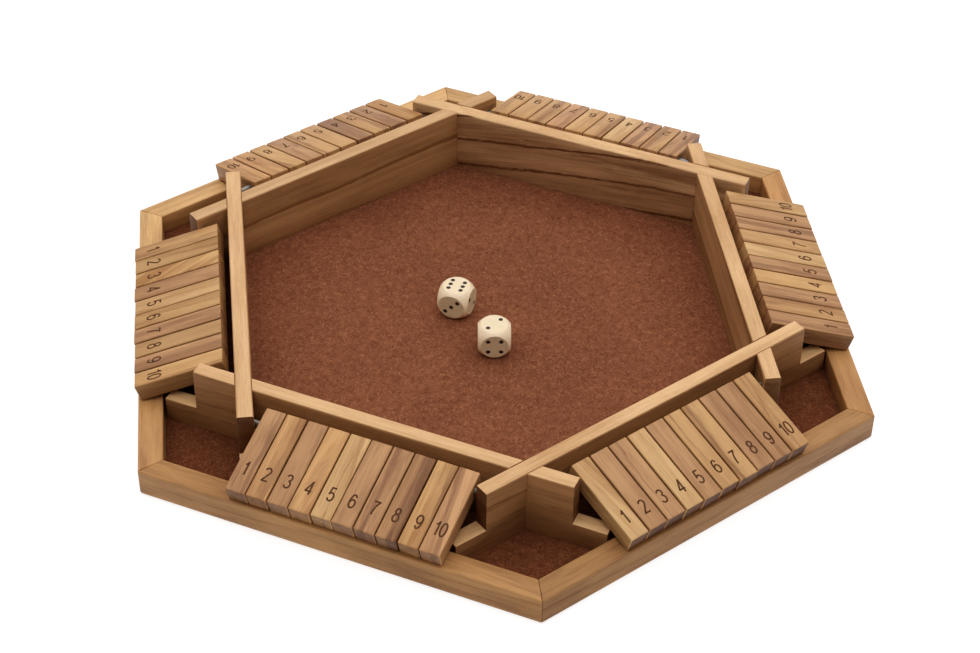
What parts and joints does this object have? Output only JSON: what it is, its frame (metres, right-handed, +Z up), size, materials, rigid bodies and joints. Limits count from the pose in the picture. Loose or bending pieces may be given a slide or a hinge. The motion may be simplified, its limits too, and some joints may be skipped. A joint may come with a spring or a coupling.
{
  "type": "shut the box game",
  "caption": "Hexagonal wooden shut the box game: felt-lined tray, half-lapped inner walls, rows of number tiles that flip on steel rods, and a pair of dice.",
  "frame": {"origin": "centre of the hexagonal tray on its underside", "axes": "+Z up out of the tray; -Y out of side A; +X through a corner of the hexagon"},
  "size_m": [0.3924, 0.342, 0.0385],
  "materials": {
    "base_wood": "satin lacquered plywood",
    "felt": "reddish brown felt",
    "rail_wood": "satin oiled hardwood",
    "wall_wood": "satin oiled hardwood",
    "wall_wood_light": "satin oiled hardwood",
    "steel": "drawn steel rod",
    "die_wood": "ivory lacquered wood",
    "tile_wood_cream": "satin oiled hardwood",
    "tile_wood_honey": "satin oiled hardwood",
    "tile_wood_tan": "satin oiled hardwood",
    "tile_wood_rose": "satin oiled hardwood",
    "tile_wood_umber": "satin oiled hardwood"
  },
  "bodies": {
    "root": {"base_panel": "base_wood", "felt_lining": "felt", "outer_rails": "rail_wood", "wall_boards_under": "wall_wood", "wall_boards_over": "wall_wood_light", "pivot_rods": "steel"},
    "tile_a1": {"tile_a1": "tile_wood_rose"},
    "tile_a2": {"tile_a2": "tile_wood_tan"},
    "tile_a3": {"tile_a3": "tile_wood_rose"},
    "tile_a4": {"tile_a4": "tile_wood_tan"},
    "tile_a5": {"tile_a5": "tile_wood_cream"},
    "tile_a6": {"tile_a6": "tile_wood_rose"},
    "tile_a7": {"tile_a7": "tile_wood_rose"},
    "tile_a8": {"tile_a8": "tile_wood_umber"},
    "tile_a9": {"tile_a9": "tile_wood_honey"},
    "tile_a10": {"tile_a10": "tile_wood_rose"},
    "tile_b1": {"tile_b1": "tile_wood_cream"},
    "tile_b2": {"tile_b2": "tile_wood_rose"},
    "tile_b3": {"tile_b3": "tile_wood_rose"},
    "tile_b4": {"tile_b4": "tile_wood_cream"},
    "tile_b5": {"tile_b5": "tile_wood_rose"},
    "tile_b6": {"tile_b6": "tile_wood_tan"},
    "tile_b7": {"tile_b7": "tile_wood_tan"},
    "tile_b8": {"tile_b8": "tile_wood_rose"},
    "tile_b9": {"tile_b9": "tile_wood_rose"},
    "tile_b10": {"tile_b10": "tile_wood_tan"},
    "tile_c1": {"tile_c1": "tile_wood_rose"},
    "tile_c2": {"tile_c2": "tile_wood_tan"},
    "tile_c3": {"tile_c3": "tile_wood_rose"},
    "tile_c4": {"tile_c4": "tile_wood_honey"},
    "tile_c5": {"tile_c5": "tile_wood_rose"},
    "tile_c6": {"tile_c6": "tile_wood_cream"},
    "tile_c7": {"tile_c7": "tile_wood_tan"},
    "tile_c8": {"tile_c8": "tile_wood_rose"},
    "tile_c9": {"tile_c9": "tile_wood_rose"},
    "tile_c10": {"tile_c10": "tile_wood_cream"},
    "tiles_d_first_half": {"tiles_d_first_half": "tile_wood_tan"},
    "tiles_d_last_half": {"tiles_d_last_half": "tile_wood_rose"},
    "tile_e1": {"tile_e1": "tile_wood_honey"},
    "tile_e2": {"tile_e2": "tile_wood_rose"},
    "tile_e3": {"tile_e3": "tile_wood_tan"},
    "tile_e4": {"tile_e4": "tile_wood_rose"},
    "tile_e5": {"tile_e5": "tile_wood_tan"},
    "tile_e6": {"tile_e6": "tile_wood_tan"},
    "tile_e7": {"tile_e7": "tile_wood_rose"},
    "tile_e8": {"tile_e8": "tile_wood_honey"},
    "tile_e9": {"tile_e9": "tile_wood_tan"},
    "tile_e10": {"tile_e10": "tile_wood_tan"},
    "tile_f1": {"tile_f1": "tile_wood_tan"},
    "tile_f2": {"tile_f2": "tile_wood_honey"},
    "tile_f3": {"tile_f3": "tile_wood_honey"},
    "tile_f4": {"tile_f4": "tile_wood_rose"},
    "tile_f5": {"tile_f5": "tile_wood_cream"},
    "tile_f6": {"tile_f6": "tile_wood_honey"},
    "tile_f7": {"tile_f7": "tile_wood_rose"},
    "tile_f8": {"tile_f8": "tile_wood_tan"},
    "tile_f9": {"tile_f9": "tile_wood_rose"},
    "tile_f10": {"tile_f10": "tile_wood_honey"},
    "die_1": {"die_1": "die_wood"},
    "die_2": {"die_2": "die_wood"}
  },
  "joints": [
    {"name": "flip_a1", "type": "hinge", "parent": "root", "child": "tile_a1", "pos_m": [-0.0477, -0.13462, 0.03], "axis": [-1, 0, 0], "range_deg": [0, 139]},
    {"name": "flip_a2", "type": "hinge", "parent": "root", "child": "tile_a2", "pos_m": [-0.0371, -0.13462, 0.03], "axis": [-1, 0, 0], "range_deg": [0, 139]},
    {"name": "flip_a3", "type": "hinge", "parent": "root", "child": "tile_a3", "pos_m": [-0.0265, -0.13462, 0.03], "axis": [-1, 0, 0], "range_deg": [0, 139]},
    {"name": "flip_a4", "type": "hinge", "parent": "root", "child": "tile_a4", "pos_m": [-0.0159, -0.13462, 0.03], "axis": [-1, 0, 0], "range_deg": [0, 139]},
    {"name": "flip_a5", "type": "hinge", "parent": "root", "child": "tile_a5", "pos_m": [-0.0053, -0.13462, 0.03], "axis": [-1, 0, 0], "range_deg": [0, 139]},
    {"name": "flip_a6", "type": "hinge", "parent": "root", "child": "tile_a6", "pos_m": [0.0053, -0.13462, 0.03], "axis": [-1, 0, 0], "range_deg": [0, 139]},
    {"name": "flip_a7", "type": "hinge", "parent": "root", "child": "tile_a7", "pos_m": [0.0159, -0.13462, 0.03], "axis": [-1, 0, 0], "range_deg": [0, 139]},
    {"name": "flip_a8", "type": "hinge", "parent": "root", "child": "tile_a8", "pos_m": [0.0265, -0.13462, 0.03], "axis": [-1, 0, 0], "range_deg": [0, 139]},
    {"name": "flip_a9", "type": "hinge", "parent": "root", "child": "tile_a9", "pos_m": [0.0371, -0.13462, 0.03], "axis": [-1, 0, 0], "range_deg": [0, 139]},
    {"name": "flip_a10", "type": "hinge", "parent": "root", "child": "tile_a10", "pos_m": [0.0477, -0.13462, 0.03], "axis": [-1, 0, 0], "range_deg": [0, 139]},
    {"name": "flip_b1", "type": "hinge", "parent": "root", "child": "tile_b1", "pos_m": [0.09273, -0.10862, 0.03], "axis": [-0.5, -0.866, 0], "range_deg": [0, 139]},
    {"name": "flip_b2", "type": "hinge", "parent": "root", "child": "tile_b2", "pos_m": [0.09803, -0.09944, 0.03], "axis": [-0.5, -0.866, 0], "range_deg": [0, 139]},
    {"name": "flip_b3", "type": "hinge", "parent": "root", "child": "tile_b3", "pos_m": [0.10333, -0.09026, 0.03], "axis": [-0.5, -0.866, 0], "range_deg": [0, 139]},
    {"name": "flip_b4", "type": "hinge", "parent": "root", "child": "tile_b4", "pos_m": [0.10863, -0.08108, 0.03], "axis": [-0.5, -0.866, 0], "range_deg": [0, 139]},
    {"name": "flip_b5", "type": "hinge", "parent": "root", "child": "tile_b5", "pos_m": [0.11393, -0.0719, 0.03], "axis": [-0.5, -0.866, 0], "range_deg": [0, 139]},
    {"name": "flip_b6", "type": "hinge", "parent": "root", "child": "tile_b6", "pos_m": [0.11923, -0.06272, 0.03], "axis": [-0.5, -0.866, 0], "range_deg": [0, 139]},
    {"name": "flip_b7", "type": "hinge", "parent": "root", "child": "tile_b7", "pos_m": [0.12453, -0.05354, 0.03], "axis": [-0.5, -0.866, 0], "range_deg": [0, 139]},
    {"name": "flip_b8", "type": "hinge", "parent": "root", "child": "tile_b8", "pos_m": [0.12983, -0.04436, 0.03], "axis": [-0.5, -0.866, 0], "range_deg": [0, 139]},
    {"name": "flip_b9", "type": "hinge", "parent": "root", "child": "tile_b9", "pos_m": [0.13513, -0.03518, 0.03], "axis": [-0.5, -0.866, 0], "range_deg": [0, 139]},
    {"name": "flip_b10", "type": "hinge", "parent": "root", "child": "tile_b10", "pos_m": [0.14043, -0.026, 0.03], "axis": [-0.5, -0.866, 0], "range_deg": [0, 139]},
    {"name": "flip_c1", "type": "hinge", "parent": "root", "child": "tile_c1", "pos_m": [0.14043, 0.026, 0.03], "axis": [0.5, -0.866, 0], "range_deg": [0, 139]},
    {"name": "flip_c2", "type": "hinge", "parent": "root", "child": "tile_c2", "pos_m": [0.13513, 0.03518, 0.03], "axis": [0.5, -0.866, 0], "range_deg": [0, 139]},
    {"name": "flip_c3", "type": "hinge", "parent": "root", "child": "tile_c3", "pos_m": [0.12983, 0.04436, 0.03], "axis": [0.5, -0.866, 0], "range_deg": [0, 139]},
    {"name": "flip_c4", "type": "hinge", "parent": "root", "child": "tile_c4", "pos_m": [0.12453, 0.05354, 0.03], "axis": [0.5, -0.866, 0], "range_deg": [0, 139]},
    {"name": "flip_c5", "type": "hinge", "parent": "root", "child": "tile_c5", "pos_m": [0.11923, 0.06272, 0.03], "axis": [0.5, -0.866, 0], "range_deg": [0, 139]},
    {"name": "flip_c6", "type": "hinge", "parent": "root", "child": "tile_c6", "pos_m": [0.11393, 0.0719, 0.03], "axis": [0.5, -0.866, 0], "range_deg": [0, 139]},
    {"name": "flip_c7", "type": "hinge", "parent": "root", "child": "tile_c7", "pos_m": [0.10863, 0.08108, 0.03], "axis": [0.5, -0.866, 0], "range_deg": [0, 139]},
    {"name": "flip_c8", "type": "hinge", "parent": "root", "child": "tile_c8", "pos_m": [0.10333, 0.09026, 0.03], "axis": [0.5, -0.866, 0], "range_deg": [0, 139]},
    {"name": "flip_c9", "type": "hinge", "parent": "root", "child": "tile_c9", "pos_m": [0.09803, 0.09944, 0.03], "axis": [0.5, -0.866, 0], "range_deg": [0, 139]},
    {"name": "flip_c10", "type": "hinge", "parent": "root", "child": "tile_c10", "pos_m": [0.09273, 0.10862, 0.03], "axis": [0.5, -0.866, 0], "range_deg": [0, 139]},
    {"name": "flip_d_first_half", "type": "hinge", "parent": "root", "child": "tiles_d_first_half", "pos_m": [0.0265, 0.13462, 0.03], "axis": [1, 0, 0], "range_deg": [0, 139]},
    {"name": "flip_d_last_half", "type": "hinge", "parent": "root", "child": "tiles_d_last_half", "pos_m": [-0.0265, 0.13462, 0.03], "axis": [1, 0, 0], "range_deg": [0, 139]},
    {"name": "flip_e1", "type": "hinge", "parent": "root", "child": "tile_e1", "pos_m": [-0.09273, 0.10862, 0.03], "axis": [0.5, 0.866, 0], "range_deg": [0, 139]},
    {"name": "flip_e2", "type": "hinge", "parent": "root", "child": "tile_e2", "pos_m": [-0.09803, 0.09944, 0.03], "axis": [0.5, 0.866, 0], "range_deg": [0, 139]},
    {"name": "flip_e3", "type": "hinge", "parent": "root", "child": "tile_e3", "pos_m": [-0.10333, 0.09026, 0.03], "axis": [0.5, 0.866, 0], "range_deg": [0, 139]},
    {"name": "flip_e4", "type": "hinge", "parent": "root", "child": "tile_e4", "pos_m": [-0.10863, 0.08108, 0.03], "axis": [0.5, 0.866, 0], "range_deg": [0, 139]},
    {"name": "flip_e5", "type": "hinge", "parent": "root", "child": "tile_e5", "pos_m": [-0.11393, 0.0719, 0.03], "axis": [0.5, 0.866, 0], "range_deg": [0, 139]},
    {"name": "flip_e6", "type": "hinge", "parent": "root", "child": "tile_e6", "pos_m": [-0.11923, 0.06272, 0.03], "axis": [0.5, 0.866, 0], "range_deg": [0, 139]},
    {"name": "flip_e7", "type": "hinge", "parent": "root", "child": "tile_e7", "pos_m": [-0.12453, 0.05354, 0.03], "axis": [0.5, 0.866, 0], "range_deg": [0, 139]},
    {"name": "flip_e8", "type": "hinge", "parent": "root", "child": "tile_e8", "pos_m": [-0.12983, 0.04436, 0.03], "axis": [0.5, 0.866, 0], "range_deg": [0, 139]},
    {"name": "flip_e9", "type": "hinge", "parent": "root", "child": "tile_e9", "pos_m": [-0.13513, 0.03518, 0.03], "axis": [0.5, 0.866, 0], "range_deg": [0, 139]},
    {"name": "flip_e10", "type": "hinge", "parent": "root", "child": "tile_e10", "pos_m": [-0.14043, 0.026, 0.03], "axis": [0.5, 0.866, 0], "range_deg": [0, 139]},
    {"name": "flip_f1", "type": "hinge", "parent": "root", "child": "tile_f1", "pos_m": [-0.14043, -0.026, 0.03], "axis": [-0.5, 0.866, 0], "range_deg": [0, 139]},
    {"name": "flip_f2", "type": "hinge", "parent": "root", "child": "tile_f2", "pos_m": [-0.13513, -0.03518, 0.03], "axis": [-0.5, 0.866, 0], "range_deg": [0, 139]},
    {"name": "flip_f3", "type": "hinge", "parent": "root", "child": "tile_f3", "pos_m": [-0.12983, -0.04436, 0.03], "axis": [-0.5, 0.866, 0], "range_deg": [0, 139]},
    {"name": "flip_f4", "type": "hinge", "parent": "root", "child": "tile_f4", "pos_m": [-0.12453, -0.05354, 0.03], "axis": [-0.5, 0.866, 0], "range_deg": [0, 139]},
    {"name": "flip_f5", "type": "hinge", "parent": "root", "child": "tile_f5", "pos_m": [-0.11923, -0.06272, 0.03], "axis": [-0.5, 0.866, 0], "range_deg": [0, 139]},
    {"name": "flip_f6", "type": "hinge", "parent": "root", "child": "tile_f6", "pos_m": [-0.11393, -0.0719, 0.03], "axis": [-0.5, 0.866, 0], "range_deg": [0, 139]},
    {"name": "flip_f7", "type": "hinge", "parent": "root", "child": "tile_f7", "pos_m": [-0.10863, -0.08108, 0.03], "axis": [-0.5, 0.866, 0], "range_deg": [0, 139]},
    {"name": "flip_f8", "type": "hinge", "parent": "root", "child": "tile_f8", "pos_m": [-0.10333, -0.09026, 0.03], "axis": [-0.5, 0.866, 0], "range_deg": [0, 139]},
    {"name": "flip_f9", "type": "hinge", "parent": "root", "child": "tile_f9", "pos_m": [-0.09803, -0.09944, 0.03], "axis": [-0.5, 0.866, 0], "range_deg": [0, 139]},
    {"name": "flip_f10", "type": "hinge", "parent": "root", "child": "tile_f10", "pos_m": [-0.09273, -0.10862, 0.03], "axis": [-0.5, 0.866, 0], "range_deg": [0, 139]},
    {"name": "lift_die_1", "type": "slide", "parent": "root", "child": "die_1", "axis": [0, 0, 1], "range_m": [0, 0.1]},
    {"name": "lift_die_2", "type": "slide", "parent": "root", "child": "die_2", "axis": [0, 0, 1], "range_m": [0, 0.1]}
  ]
}
